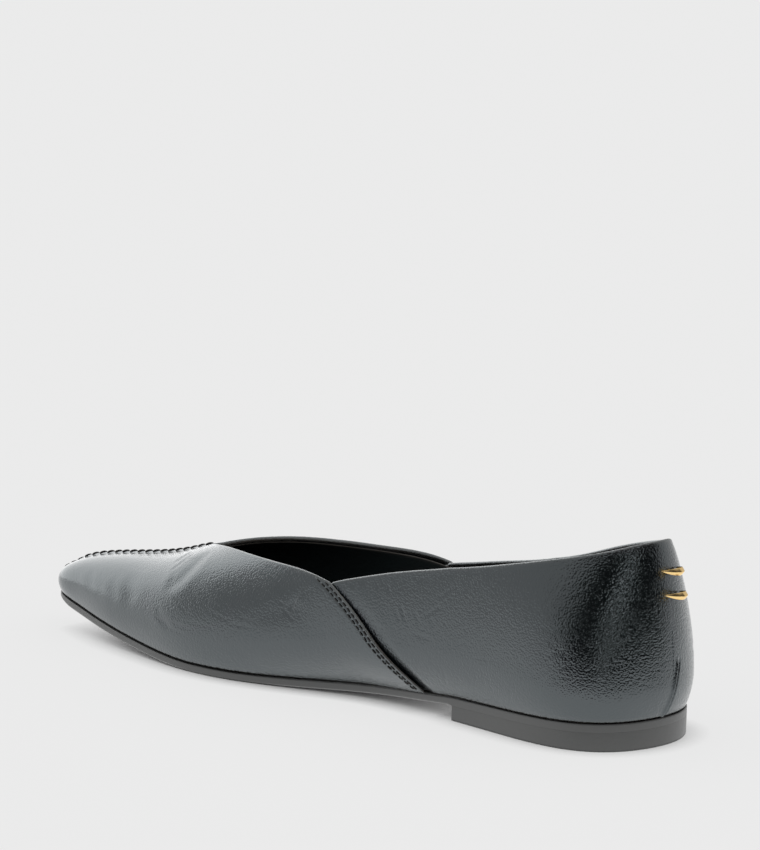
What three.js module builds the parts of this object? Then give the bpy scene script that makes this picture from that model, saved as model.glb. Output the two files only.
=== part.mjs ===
// A right foot's flat shoe with a pointed toe, in millimetres, standing on z = 0.
// x runs from the back of the heel (0) to the toe tip (soleLength), +y is the inner side of the foot.
// The leather upper is one hollow shell over a last: a vamp laps over a quarter along a slanted seam.

import * as THREE from 'three';
import { mergeVertices } from 'three/addons/utils/BufferGeometryUtils.js';

// Driving dimensions
const soleLength = 264;
const ballWidth = 68;
const backHeight = 58;
const instepHeight = 44;
const clearance = 0.3;

const outsoleThickness = 2.7;
const outsoleOverhang = 0.4;
const outsoleBevel = 1.3;
const outsoleRound = 0.4;
const heelLength = 70;
const heelBackHeight = 6.6;
const heelFrontHeight = 5.0;
const heelBevel = 0.5;
const flatStart = 162;
const flatEnd = 179;
const toeSpring = 9.6;
const archPower = 1.6;
const springPower = 1.5;

const wall = 1.8;
const lapStep = 1.2;
const lapFade = 30;
const lapAtFeather = 0.35;
const seamFoot = 83.5;
const vPoint = 118.5;
const throat = 194;
const seamBend = 1.15;
const wingBendInner = 0.8;
const wingBendOuter = 0.71;
const beadHeight = 0.5;
const beadHalfWidth = 2.2;
const beadFade = 12;
const heelLean = 11;
const toeCap = 4.5;

const insoleThickness = 2;
const insoleEdge = 0.6;

const stapleWidth = 9;
const stapleBarHeight = 1.6;
const stapleThickness = 0.8;
const stapleStandoff = 1.9;
const stapleOffset = -2.2;
const upperStapleShare = 0.828;
const lowerStapleShare = 0.695;

// Where the wall turns from leaning out to closing in, as a share of the way up a rib
const turn = 0.3;
// Small steps along the outline and up a rib, over which directions are measured
const outlineStep = 0.002;
const skinStep = 0.004;

// The last in plan. at: share of soleLength. inner, outer: half widths of the feather line, where the upper
// meets the sole. leanIn, leanOut: how far the inner and the outer wall lean out beyond it. All four are
// shares of ballWidth.
const planRows = [
  { at: 0.00, inner: 0.000, outer: 0.000, leanIn: 0.040, leanOut: 0.040 },
  { at: 0.02, inner: 0.294, outer: 0.272, leanIn: 0.040, leanOut: 0.040 },
  { at: 0.07, inner: 0.421, outer: 0.426, leanIn: 0.049, leanOut: 0.049 },
  { at: 0.14, inner: 0.422, outer: 0.429, leanIn: 0.056, leanOut: 0.056 },
  { at: 0.22, inner: 0.369, outer: 0.426, leanIn: 0.076, leanOut: 0.068 },
  { at: 0.32, inner: 0.307, outer: 0.431, leanIn: 0.125, leanOut: 0.074 },
  { at: 0.42, inner: 0.285, outer: 0.466, leanIn: 0.162, leanOut: 0.068 },
  { at: 0.52, inner: 0.375, outer: 0.509, leanIn: 0.112, leanOut: 0.053 },
  { at: 0.62, inner: 0.459, outer: 0.544, leanIn: 0.047, leanOut: 0.038 },
  { at: 0.70, inner: 0.446, outer: 0.518, leanIn: 0.032, leanOut: 0.032 },
  { at: 0.78, inner: 0.374, outer: 0.434, leanIn: 0.026, leanOut: 0.026 },
  { at: 0.86, inner: 0.285, outer: 0.324, leanIn: 0.024, leanOut: 0.024 },
  { at: 0.93, inner: 0.191, outer: 0.218, leanIn: 0.022, leanOut: 0.022 },
  { at: 0.98, inner: 0.115, outer: 0.125, leanIn: 0.021, leanOut: 0.021 },
  { at: 1.00, inner: 0.000, outer: 0.000, leanIn: 0.021, leanOut: 0.021 },
];

// The last upward from the feather line. widest: height of the widest level, a share of backHeight. ridge:
// height of the top line, a share of instepHeight. shift: how far the top line lies to the inner side, a
// share of ballWidth. round: fullness of the curve over the top.
const heightRows = [
  { at: 0.00, widest: 0.19, ridge: 1.55, shift: 0.000, round: 1.6 },
  { at: 0.02, widest: 0.19, ridge: 1.56, shift: 0.000, round: 1.6 },
  { at: 0.07, widest: 0.21, ridge: 1.61, shift: 0.004, round: 1.85 },
  { at: 0.14, widest: 0.24, ridge: 1.80, shift: 0.012, round: 2.0 },
  { at: 0.22, widest: 0.28, ridge: 1.86, shift: 0.021, round: 2.0 },
  { at: 0.32, widest: 0.30, ridge: 1.80, shift: 0.032, round: 2.0 },
  { at: 0.42, widest: 0.30, ridge: 1.57, shift: 0.041, round: 2.0 },
  { at: 0.52, widest: 0.26, ridge: 1.24, shift: 0.041, round: 2.1 },
  { at: 0.62, widest: 0.21, ridge: 1.01, shift: 0.035, round: 2.2 },
  { at: 0.70, widest: 0.17, ridge: 0.87, shift: 0.026, round: 2.3 },
  { at: 0.78, widest: 0.15, ridge: 0.68, shift: 0.018, round: 2.3 },
  { at: 0.86, widest: 0.13, ridge: 0.53, shift: 0.009, round: 2.3 },
  { at: 0.93, widest: 0.12, ridge: 0.40, shift: 0.003, round: 2.2 },
  { at: 0.98, widest: 0.08, ridge: 0.27, shift: 0.000, round: 2.1 },
  { at: 1.00, widest: 0.06, ridge: 0.205, shift: 0.000, round: 2.0 },
];

// Height of the quarter's top edge over the feather line, as shares of backHeight
const topEdge = [
  { at: 0.00, inner: 0.992, outer: 0.992 },
  { at: 0.03, inner: 0.970, outer: 0.967 },
  { at: 0.08, inner: 0.922, outer: 0.915 },
  { at: 0.16, inner: 0.848, outer: 0.821 },
  { at: 0.26, inner: 0.762, outer: 0.690 },
  { at: 0.36, inner: 0.700, outer: 0.633 },
  { at: 0.41, inner: 0.656, outer: 0.605 },
  { at: 0.45, inner: 0.611, outer: 0.582 },
  { at: 0.49, inner: 0.566, outer: 0.562 },
];

const clamp = (value, low, high) => Math.min(high, Math.max(low, value));
const mix = (a, b, t) => a + (b - a) * t;
const smooth = (t) => clamp(t, 0, 1) ** 2 * (3 - 2 * clamp(t, 0, 1));

// A station u runs 0 to 1 from heel back to toe tip, close together at both ends
const stationOf = (x) => Math.acos(1 - 2 * clamp(x / soleLength, 0, 1)) / Math.PI;
const lengthAt = (u) => soleLength * (1 - Math.cos(Math.PI * u)) / 2;

// A cubic through one column of a table, level at both ends, or straight there if it crosses the axis
function curveOf(rows, column, crossing = false) {
  const us = rows.map((row) => stationOf(row.at * soleLength));
  const values = rows.map((row) => row[column]);
  const last = us.length - 1;
  const gap = us.slice(1).map((u, i) => u - us[i]);
  const rise = gap.map((h, i) => (values[i + 1] - values[i]) / h);
  const diagonal = [];
  const right = [];
  const bend = new Array(last + 1).fill(0);
  for (let i = 0; i <= last; i += 1) {
    const before = i > 0 ? gap[i - 1] : 0;
    const after = i < last ? gap[i] : 0;
    const end = i === 0 || i === last;
    const slopeBefore = i > 0 ? rise[i - 1] : 0;
    const slopeAfter = i < last ? rise[i] : 0;
    diagonal[i] = end && crossing ? 1 : 2 * (before + after);
    right[i] = end && crossing ? 0 : 6 * (slopeAfter - slopeBefore);
    if (i > 0) {
      const lower = i === last && crossing ? 0 : gap[i - 1];
      const upper = i === 1 && crossing ? 0 : gap[i - 1];
      const factor = lower / diagonal[i - 1];
      diagonal[i] -= factor * upper;
      right[i] -= factor * right[i - 1];
    }
  }
  for (let i = last; i >= 0; i -= 1) {
    const upper = i === 0 && crossing ? 0 : gap[i] ?? 0;
    const next = i < last ? bend[i + 1] : 0;
    bend[i] = (right[i] - upper * next) / diagonal[i];
  }
  return (u) => {
    const at = clamp(u, us[0], us[last]);
    let k = 0;
    while (k < last - 1 && at >= us[k + 1]) k += 1;
    const a = (us[k + 1] - at) / gap[k];
    const b = (at - us[k]) / gap[k];
    const curved = (a ** 3 - a) * bend[k] + (b ** 3 - b) * bend[k + 1];
    return a * values[k] + b * values[k + 1] + curved * gap[k] ** 2 / 6;
  };
}

const shape = {
  inner: curveOf(planRows, 'inner', true),
  outer: curveOf(planRows, 'outer', true),
  leanIn: curveOf(planRows, 'leanIn'),
  leanOut: curveOf(planRows, 'leanOut'),
  widest: curveOf(heightRows, 'widest'),
  ridge: curveOf(heightRows, 'ridge'),
  shift: curveOf(heightRows, 'shift'),
  round: curveOf(heightRows, 'round'),
};
const topCurve = { inner: curveOf(topEdge, 'inner'), outer: curveOf(topEdge, 'outer') };

// Underside of the outsole: on the heel lift, down through the arch, flat at the ball, up at the toe
function soleBottom(x) {
  const spring = toeSpring * clamp((x - flatEnd) / (soleLength - flatEnd), 0, 1) ** springPower;
  if (x <= heelLength) return mix(heelBackHeight, heelFrontHeight, Math.max(x, 0) / heelLength);
  const along = clamp((x - heelLength) / (flatStart - heelLength), 0, 1);
  return heelFrontHeight * (1 - along) ** archPower + spring;
}
const soleTop = (x) => soleBottom(x) + outsoleThickness;
const featherLevel = (x) => soleTop(x) + clearance;

// Plan outline. v runs round the shoe: 0 at heel back, +1 or -1 at the toe tip, positive on the inner side
const wrapped = (v) => v - 2 * Math.round(v / 2);
function outline(v) {
  const turned = wrapped(v);
  const width = shape[turned < 0 ? 'outer' : 'inner'](Math.abs(turned)) * ballWidth;
  return [lengthAt(Math.abs(turned)), Math.sign(turned) * width];
}

// The outline moved outward by a distance
function edgePoint(v, out) {
  const [x0, y0] = outline(v - outlineStep);
  const [x1, y1] = outline(v + outlineStep);
  const length = Math.hypot(x1 - x0, y1 - y0);
  const [x, y] = outline(v);
  return [x - out * (y1 - y0) / length, y + out * (x1 - x0) / length];
}

// Top line of the last: near the two ends it stays back from them, so that the ribs there lean in
function ridgeLength(x) {
  const fromHeel = clamp(x / (2 * heelLean), 0, 1);
  const fromToe = clamp((soleLength - x) / (4 * toeCap), 0, 1);
  return x + heelLean * (1 - fromHeel) ** 2 - toeCap * (1 - fromToe) ** 2;
}

// A point of the last's skin: v round the shoe, q up a rib from feather line (0) to ridge (1), and past 1
// down the other side
function skin(v, q) {
  const side = (wrapped(v) < 0) === (q > 1) ? 1 : -1;
  const up = q > 1 ? 2 - q : q;
  const u = Math.abs(wrapped(v));
  const x = lengthAt(u);
  const lean = shape[side > 0 ? 'leanIn' : 'leanOut'](u) * ballWidth;
  const width = shape[side > 0 ? 'inner' : 'outer'](u) * ballWidth;
  const low = featherLevel(x);
  const mid = low + shape.widest(u) * backHeight;
  const high = low + shape.ridge(u) * instepHeight;
  const dx = ridgeLength(x) - x;
  const dy = shape.shift(u) * ballWidth - side * width;
  const reach = Math.hypot(dx, dy);
  let inward;
  let z;
  if (up < turn) {
    const t = up / turn;
    inward = -lean * (1 - (1 - t) ** 2);
    z = mix(low, mid, t);
  } else {
    const angle = (up - turn) / (1 - turn) * Math.PI / 2;
    const power = 2 / shape.round(u);
    inward = reach - (reach + lean) * Math.max(Math.cos(angle), 0) ** power;
    z = mid + (high - mid) * Math.sin(angle) ** power;
  }
  return new THREE.Vector3(x + dx / reach * inward, side * width + dy / reach * inward, z);
}

// The rib share at which the skin reaches a height over the feather line
function shareAtHeight(u, height) {
  const mid = shape.widest(u) * backHeight;
  const high = shape.ridge(u) * instepHeight;
  const part = clamp((height - mid) / (high - mid), 0, 1);
  return turn + (1 - turn) * Math.asin(part ** (shape.round(u) / 2)) * 2 / Math.PI;
}

// Height of a rib over the feather line at a share of the way up it
function heightAt(u, q) {
  const mid = shape.widest(u) * backHeight;
  const high = shape.ridge(u) * instepHeight;
  if (q < turn) return mid * q / turn;
  const angle = (q - turn) / (1 - turn) * Math.PI / 2;
  return mid + (high - mid) * Math.sin(angle) ** (2 / shape.round(u));
}

function normalAt(v, q) {
  const alongU = skin(v + skinStep, q).sub(skin(v - skinStep, q));
  const alongQ = skin(v, q + skinStep).sub(skin(v, Math.max(q - skinStep, 0)));
  return alongQ.cross(alongU).normalize();
}

// Outward direction: level at the feather line, shared by both sides along the ridge
const ridgeZone = 0.97;
function outward(v, q) {
  if (q <= 0) {
    const [x, y] = outline(v);
    const [x1, y1] = edgePoint(v, 1);
    return new THREE.Vector3(x1 - x, y1 - y, 0);
  }
  if (q < ridgeZone) return normalAt(v, q);
  const own = normalAt(v, ridgeZone);
  const other = normalAt(-v, ridgeZone);
  const share = 1 - 0.5 * (q - ridgeZone) / (1 - ridgeZone);
  return own.multiplyScalar(share).addScaledVector(other, 1 - share).normalize();
}

// Columns of the upper from heel back to toe tip on one side. foot, top: stations of the column's two
// ends. share: rib share of its top end. lap: 1 at the vamp's lapped edge, 0 on the quarter
const quarterColumns = 13;
const wingColumns = 10;
const ridgeColumns = 15;
const outsoleColumns = 44;
const insoleColumns = 40;
const heelColumns = 18;
const seamStation = stationOf(seamFoot);
const vStation = stationOf(vPoint);

function columnsOf(side) {
  const topShare = (u) => shareAtHeight(u, topCurve[side](u) * backHeight);
  const footOf = (top) => (top < vStation
    ? top * seamStation / vStation
    : mix(seamStation, 1, (top - vStation) / (1 - vStation)));
  const columns = [];
  for (let i = 0; i <= quarterColumns; i += 1) {
    const top = vStation * i / quarterColumns;
    columns.push({ foot: footOf(top), top, share: topShare(top), lap: 0 });
  }
  for (let i = 0; i <= wingColumns; i += 1) {
    const t = i / wingColumns;
    const x = mix(vPoint, throat, t);
    const bend = side === 'inner' ? wingBendInner : wingBendOuter;
    const share = 1 - (1 - topShare(vStation)) * (1 - t) ** bend;
    const top = stationOf(x);
    columns.push({ foot: footOf(top), top, share, lap: 1 - smooth((x - vPoint) / lapFade) });
  }
  for (let i = 1; i <= ridgeColumns; i += 1) {
    const top = mix(stationOf(throat), 1, i / ridgeColumns);
    columns.push({ foot: footOf(top), top, share: 1, lap: 0 });
  }
  return columns;
}

// Levels up a column, closer together near its top
const levels = [0, 0.08, 0.16, 0.25, 0.34, 0.44, 0.54, 0.64, 0.74, 0.83, 0.9, 0.95, 0.98, 1];

// Height of the raised seam over the vamp's middle, by distance from the ridge
function bead(v, q, point) {
  const u = Math.abs(v);
  if (u < stationOf(throat) - skinStep) return 0;
  const away = point.distanceTo(skin(v, 1)) / beadHalfWidth;
  const fade = smooth((soleLength - lengthAt(u)) / beadFade);
  return away < 1 ? beadHeight * fade * Math.cos(away * Math.PI / 2) : 0;
}

function upperColumn(column, sign) {
  const outer = [];
  const inner = [];
  const topHeight = heightAt(column.top, column.share);
  for (const level of levels) {
    const q = level * column.share;
    const height = heightAt(column.top, q) / topHeight;
    const v = sign * mix(column.foot, column.top, height ** seamBend);
    const point = skin(v, q);
    const direction = outward(v, q);
    const lap = lapStep * column.lap * mix(lapAtFeather, 1, clamp(q / turn, 0, 1));
    const raised = lap + bead(v, q, point);
    outer.push(point.clone().addScaledVector(direction, raised));
    inner.push(point.clone().addScaledVector(direction, -wall));
  }
  return { outer, inner, onRidge: column.share === 1 };
}

// Closed body from loose triangles, with its faces turned out
class Body {
  constructor() {
    this.corners = [];
  }

  quad(a, b, c, d) {
    this.corners.push(a, b, c, a, c, d);
  }

  strip(first, second) {
    for (let i = 1; i < first.length; i += 1) {
      this.quad(first[i - 1], second[i - 1], second[i], first[i]);
    }
  }

  geometry() {
    const loose = new THREE.BufferGeometry().setFromPoints(this.corners);
    loose.setIndex([...this.corners.keys()]);
    const merged = mergeVertices(loose, 1e-3);
    const index = merged.getIndex().array;
    const position = merged.getAttribute('position');
    const kept = [];
    let volume = 0;
    const corner = [new THREE.Vector3(), new THREE.Vector3(), new THREE.Vector3()];
    for (let i = 0; i < index.length; i += 3) {
      const [a, b, c] = index.slice(i, i + 3);
      if (a === b || b === c || c === a) continue;
      kept.push(a, b, c);
      [a, b, c].forEach((n, k) => corner[k].fromBufferAttribute(position, n));
      volume += corner[0].dot(corner[1].cross(corner[2]));
    }
    merged.setIndex(volume < 0 ? kept.reverse() : kept);
    merged.computeVertexNormals();
    return merged;
  }
}

function upperGeometry() {
  const ring = columnsOf('inner').map((column) => upperColumn(column, 1));
  const back = columnsOf('outer').map((column) => upperColumn(column, -1));
  ring.push(...back.slice(1, -1).reverse());
  const body = new Body();
  ring.forEach((column, i) => {
    const next = ring[(i + 1) % ring.length];
    body.strip(column.outer, next.outer);
    body.strip(next.inner, column.inner);
    const top = levels.length - 1;
    if (!column.onRidge || !next.onRidge) {
      body.quad(column.outer[top], next.outer[top], next.inner[top], column.inner[top]);
    }
    body.quad(next.outer[0], column.outer[0], column.inner[0], next.inner[0]);
  });
  return body.geometry();
}

// A flat piece inside or outside the outline, up to the station end. Each level has a distance out and
// a height function, from the underside to the top
function slabGeometry(end, count, profile) {
  const sideLines = [1, -1].map((sign) => profile.map((level) => {
    const line = [];
    for (let i = 0; i <= count; i += 1) {
      const [x, y] = edgePoint(sign * end * i / count, level.out);
      line.push(new THREE.Vector3(x, i === 0 ? 0 : y, level.height(x)));
    }
    if (end === 1) line[count].y = 0;
    return line;
  }));
  const body = new Body();
  const [innerLines, outerLines] = sideLines;
  const top = profile.length - 1;
  for (let k = 0; k < top; k += 1) {
    body.strip(innerLines[k + 1], innerLines[k]);
    body.strip(outerLines[k], outerLines[k + 1]);
    body.quad(innerLines[k + 1][count], innerLines[k][count], outerLines[k][count], outerLines[k + 1][count]);
  }
  body.strip(innerLines[0], outerLines[0]);
  body.strip(outerLines[top], innerLines[top]);
  return body.geometry();
}

function outsoleGeometry() {
  const height = (share) => (x) => soleBottom(x) + outsoleThickness * share;
  return slabGeometry(1, outsoleColumns, [
    { out: outsoleOverhang - outsoleBevel, height: height(0) },
    { out: outsoleOverhang - outsoleRound, height: height(0.2) },
    { out: outsoleOverhang, height: height(0.5) },
    { out: outsoleOverhang, height: height(0.85) },
    { out: outsoleOverhang - outsoleRound, height: height(1) },
  ]);
}

function heelGeometry() {
  const top = (x) => soleBottom(x) - clearance;
  return slabGeometry(stationOf(heelLength), heelColumns, [
    { out: -heelBevel, height: () => 0 },
    { out: 0, height: () => heelBevel },
    { out: 0, height: top },
  ]);
}

function insoleGeometry() {
  const inset = -wall - clearance;
  const height = (share) => (x) => featherLevel(x) + insoleThickness * share;
  return slabGeometry(1, insoleColumns, [
    { out: inset, height: height(0) },
    { out: inset, height: height(0.7) },
    { out: inset - insoleEdge, height: height(1) },
  ]);
}

// x of the upper's back at a small distance to the inner side, at a height over the feather line
function backAt(y, height) {
  let low = 0;
  let high = stationOf(heelLength / 2);
  for (let i = 0; i < 30; i += 1) {
    const v = (low + high) / 2;
    if (skin(v, shareAtHeight(v, height)).y < y) low = v;
    else high = v;
  }
  return skin(low, shareAtHeight(low, height)).x;
}

// A bar across the back with two short legs bent in to the leather, a little to the outer side.
// share: its height over the feather line, a share of backHeight
function stapleGeometry(share) {
  const level = share * backHeight;
  const half = stapleWidth / 2;
  const leg = stapleThickness * Math.SQRT2;
  const foot = level - stapleBarHeight / 2;
  const outerEnd = stapleOffset - half;
  const innerEnd = stapleOffset + half;
  const outerLeg = backAt(Math.abs(outerEnd + leg), foot) - clearance;
  const innerLeg = backAt(Math.abs(innerEnd - leg), foot) - clearance;
  const nearX = backAt(0, foot) - stapleStandoff;
  const farX = nearX - stapleThickness;
  const outerSlope = outerLeg - farX;
  const innerSlope = innerLeg - farX;
  const plan = new THREE.Shape([
    new THREE.Vector2(farX, outerEnd + outerSlope),
    new THREE.Vector2(outerLeg, outerEnd),
    new THREE.Vector2(outerLeg, outerEnd + leg),
    new THREE.Vector2(nearX, outerEnd + outerSlope + leg / 2),
    new THREE.Vector2(nearX, innerEnd - innerSlope - leg / 2),
    new THREE.Vector2(innerLeg, innerEnd - leg),
    new THREE.Vector2(innerLeg, innerEnd),
    new THREE.Vector2(farX, innerEnd - innerSlope),
  ]);
  const bar = new THREE.ExtrudeGeometry(plan, { depth: stapleBarHeight, bevelEnabled: false });
  return bar.translate(0, 0, featherLevel(0) + foot);
}

const blackLeather = { color: 0x101112, roughness: 0.32, metalness: 0 };
const soleRubber = { color: 0x2c2c2e, roughness: 0.7, metalness: 0 };
const lining = { color: 0x1b1c1e, roughness: 0.6, metalness: 0 };
const goldMetal = { color: 0xc9a45c, roughness: 0.3, metalness: 1 };

const shoe = new THREE.Group();
function add(name, geometry, look) {
  const mesh = new THREE.Mesh(geometry, new THREE.MeshStandardMaterial(look));
  mesh.name = name;
  shoe.add(mesh);
}

add('upper', upperGeometry(), blackLeather);
add('outsole', outsoleGeometry(), soleRubber);
add('heel_lift', heelGeometry(), soleRubber);
add('insole', insoleGeometry(), lining);
add('staple_upper', stapleGeometry(upperStapleShare), goldMetal);
add('staple_lower', stapleGeometry(lowerStapleShare), goldMetal);

// The origin is under the middle of the shoe's box
const box = new THREE.Box3().setFromObject(shoe);
shoe.position.set(-(box.min.x + box.max.x) / 2, -(box.min.y + box.max.y) / 2, -box.min.z);
shoe.updateMatrixWorld(true);

export default shoe;
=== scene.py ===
# %% [markdown]
# # A pointed toe flat shoe
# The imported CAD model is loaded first. It is the frame that everything else is fitted to: its solids say
# where the sole, the upper and the two metal bars are, and the new skins below are laid over them.

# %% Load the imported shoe
import math

import bmesh
import bpy
import numpy as np
from mathutils import Matrix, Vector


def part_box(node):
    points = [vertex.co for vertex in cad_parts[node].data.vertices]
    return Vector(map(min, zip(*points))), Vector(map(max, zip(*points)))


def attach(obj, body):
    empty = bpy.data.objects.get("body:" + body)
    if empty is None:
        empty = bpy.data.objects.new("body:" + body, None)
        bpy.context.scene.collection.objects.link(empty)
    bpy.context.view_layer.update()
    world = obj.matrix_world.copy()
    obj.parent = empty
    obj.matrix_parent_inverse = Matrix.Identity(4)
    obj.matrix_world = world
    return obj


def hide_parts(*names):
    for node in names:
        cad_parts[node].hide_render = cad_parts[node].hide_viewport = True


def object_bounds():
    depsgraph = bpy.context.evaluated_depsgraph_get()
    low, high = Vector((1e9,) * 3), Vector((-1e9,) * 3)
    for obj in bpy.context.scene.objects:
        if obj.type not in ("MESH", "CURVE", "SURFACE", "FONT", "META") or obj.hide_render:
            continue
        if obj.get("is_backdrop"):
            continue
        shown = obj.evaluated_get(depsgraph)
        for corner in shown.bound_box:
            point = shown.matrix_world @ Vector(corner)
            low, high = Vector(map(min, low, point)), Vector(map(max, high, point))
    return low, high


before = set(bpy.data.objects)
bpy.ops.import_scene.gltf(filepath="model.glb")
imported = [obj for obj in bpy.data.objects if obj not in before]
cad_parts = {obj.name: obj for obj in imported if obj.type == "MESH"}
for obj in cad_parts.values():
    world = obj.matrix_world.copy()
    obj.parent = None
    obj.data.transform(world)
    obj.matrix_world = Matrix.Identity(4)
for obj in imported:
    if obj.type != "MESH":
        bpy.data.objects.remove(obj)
cad_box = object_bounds()
print("CAD nodes:", sorted(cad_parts))

# %% [markdown]
# ## The sizes of the shoe
# All sizes are in millimetres and in the shoe's own frame: x runs from the back of the heel to the toe
# tip, y points to the inner side of the foot and z up. Only the last step of each piece moves its points
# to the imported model's frame and turns them to metres. Keeping millimetres until then makes every number
# below one that a shoemaker could measure.

# %% Sizes
SOLE_LENGTH = 264.0
BALL_WIDTH = 68.0
BACK_HEIGHT = 58.0
INSTEP_HEIGHT = 44.0
CLEARANCE = 0.3
SOLE_THICKNESS = 2.7
BAR_MIDDLE = -2.2
HEEL_LENGTH = 70.0
HEEL_BACK, HEEL_FRONT = 6.6, 5.0
FLAT_START, FLAT_END = 162.0, 179.0
TOE_SPRING = 9.6
WALL = 1.8
LAP_STEP, LAP_FADE = 1.2, 30.0
SEAM_FOOT, V_POINT, THROAT = 83.5, 118.5, 194.0
TURN, SEAM_BEND = 0.3, 1.15
WING_BEND = {1: 0.80, -1: 0.71}
MM = 0.001

sole_low, sole_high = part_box("outsole")
bar_low, bar_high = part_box("staple_upper")
OFFSET = np.array([(sole_low.x + sole_high.x) / 2 / MM - SOLE_LENGTH / 2,
                   (bar_low.y + bar_high.y) / 2 / MM - BAR_MIDDLE, 0.0])
print("the shoe's own frame starts at", OFFSET.round(3), "mm in the packed frame")

# %% [markdown]
# ## The last
# A last is the foot-shaped form that a shoe is pulled over. Ours is two short tables: what a pattern
# maker would read off in plan, and what would be read off in height, at the same stations along the sole.
# A smooth cubic runs through each column. The same tables made the CAD solids, so a skin that is worked
# out from them lies on the solids without any fitting.

# %% The last's tables
PLAN = np.array([  # share of length; half width inner, outer; how far the wall leans out inner, outer
    (0.00, 0.000, 0.000, 0.040, 0.040), (0.02, 0.294, 0.272, 0.040, 0.040), (0.07, 0.421, 0.426, 0.049, 0.049),
    (0.14, 0.422, 0.429, 0.056, 0.056), (0.22, 0.369, 0.426, 0.076, 0.068), (0.32, 0.307, 0.431, 0.125, 0.074),
    (0.42, 0.285, 0.466, 0.162, 0.068), (0.52, 0.375, 0.509, 0.112, 0.053), (0.62, 0.459, 0.544, 0.047, 0.038),
    (0.70, 0.446, 0.518, 0.032, 0.032), (0.78, 0.374, 0.434, 0.026, 0.026), (0.86, 0.285, 0.324, 0.024, 0.024),
    (0.93, 0.191, 0.218, 0.022, 0.022), (0.98, 0.115, 0.125, 0.021, 0.021), (1.00, 0.000, 0.000, 0.021, 0.021)])
HEIGHT = np.array([  # share of length; widest level, ridge, ridge's shift to the inner side, roundness
    (0.00, 0.19, 1.55, 0.000, 1.6), (0.02, 0.19, 1.56, 0.000, 1.6), (0.07, 0.21, 1.61, 0.004, 1.85),
    (0.14, 0.24, 1.80, 0.012, 2.0), (0.22, 0.28, 1.86, 0.021, 2.0), (0.32, 0.30, 1.80, 0.032, 2.0),
    (0.42, 0.30, 1.57, 0.041, 2.0), (0.52, 0.26, 1.24, 0.041, 2.1), (0.62, 0.21, 1.01, 0.035, 2.2),
    (0.70, 0.17, 0.87, 0.026, 2.3), (0.78, 0.15, 0.68, 0.018, 2.3), (0.86, 0.13, 0.53, 0.009, 2.3),
    (0.93, 0.12, 0.40, 0.003, 2.2), (0.98, 0.08, 0.27, 0.000, 2.1), (1.00, 0.06, 0.205, 0.000, 2.0)])
TOP_EDGE = np.array([  # share of length; height of the top edge inner, outer, as a share of BACK_HEIGHT
    (0.00, 0.992, 0.992), (0.03, 0.970, 0.967), (0.08, 0.922, 0.915), (0.16, 0.848, 0.821), (0.26, 0.762, 0.690),
    (0.36, 0.700, 0.633), (0.41, 0.656, 0.605), (0.45, 0.611, 0.582), (0.49, 0.566, 0.562)])


def station_of(x):
    """Where x lies between heel back (0) and toe tip (1): the angle whose cosine is 1 - 2x/length, over pi."""
    return np.arccos(1 - 2 * np.clip(np.asarray(x, float) / SOLE_LENGTH, 0, 1)) / np.pi


def length_at(u):
    """x of a station: half the length times one minus the cosine of the station's angle."""
    return SOLE_LENGTH * (1 - np.cos(np.pi * np.asarray(u, float))) / 2


def curve_of(table, column, crossing=False):
    """A cubic spline through one column. Its ends are level, or have no bend where it crosses the axis."""
    us, values = station_of(table[:, 0] * SOLE_LENGTH), table[:, column]
    gap, rise = np.diff(us), np.diff(values) / np.diff(us)
    count = len(us)
    matrix = np.diag(np.r_[gap, 0] + np.r_[0, gap]) * 2 + np.diag(gap, 1) + np.diag(gap, -1)
    right = 6 * (np.r_[rise, 0] - np.r_[0, rise])
    if crossing:
        matrix[[0, -1]] = np.eye(count)[[0, -1]]
        right[[0, -1]] = 0
    bend = np.linalg.solve(matrix, right)

    def value(u):
        at = np.clip(u, us[0], us[-1])
        k = np.clip(np.searchsorted(us, at, side="right") - 1, 0, count - 2)
        a, b = (us[k + 1] - at) / gap[k], (at - us[k]) / gap[k]
        return a * values[k] + b * values[k + 1] + ((a**3 - a) * bend[k] + (b**3 - b) * bend[k + 1]) * gap[k]**2 / 6

    return value


inner_half, outer_half = curve_of(PLAN, 1, True), curve_of(PLAN, 2, True)
inner_lean, outer_lean = curve_of(PLAN, 3), curve_of(PLAN, 4)
widest_level, ridge_level = curve_of(HEIGHT, 1), curve_of(HEIGHT, 2)
ridge_shift, roundness_at = curve_of(HEIGHT, 3), curve_of(HEIGHT, 4)
inner_top, outer_top = curve_of(TOP_EDGE, 1), curve_of(TOP_EDGE, 2)
print("ball width", round(float((inner_half(station_of(168)) + outer_half(station_of(168))) * BALL_WIDTH), 1), "mm")

# %% [markdown]
# The underside of the sole stands on the heel lift, drops through the arch, lies flat under the ball and
# rises again to the toe. The upper starts one sole thickness above it, along the feather line.

# %% The sole's profile and the skin of the last
def smooth(t):
    """A soft step: zero below 0, one above 1, and 3t^2 - 2t^3 between."""
    t = np.clip(t, 0, 1)
    return t * t * (3 - 2 * t)


def sole_bottom(x):
    """Straight over the heel, a power curve down through the arch, and a power curve up at the toe."""
    heel = HEEL_BACK + (HEEL_FRONT - HEEL_BACK) * np.maximum(x, 0) / HEEL_LENGTH
    along = np.clip((x - HEEL_LENGTH) / (FLAT_START - HEEL_LENGTH), 0, 1)
    toe = TOE_SPRING * np.clip((x - FLAT_END) / (SOLE_LENGTH - FLAT_END), 0, 1) ** 1.5
    return np.where(x <= HEEL_LENGTH, heel, HEEL_FRONT * (1 - along) ** 1.6 + toe)


def feather_level(x):
    """Height of the line where the upper meets the sole: the sole's top and a hair of clearance."""
    return sole_bottom(x) + SOLE_THICKNESS + CLEARANCE


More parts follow.
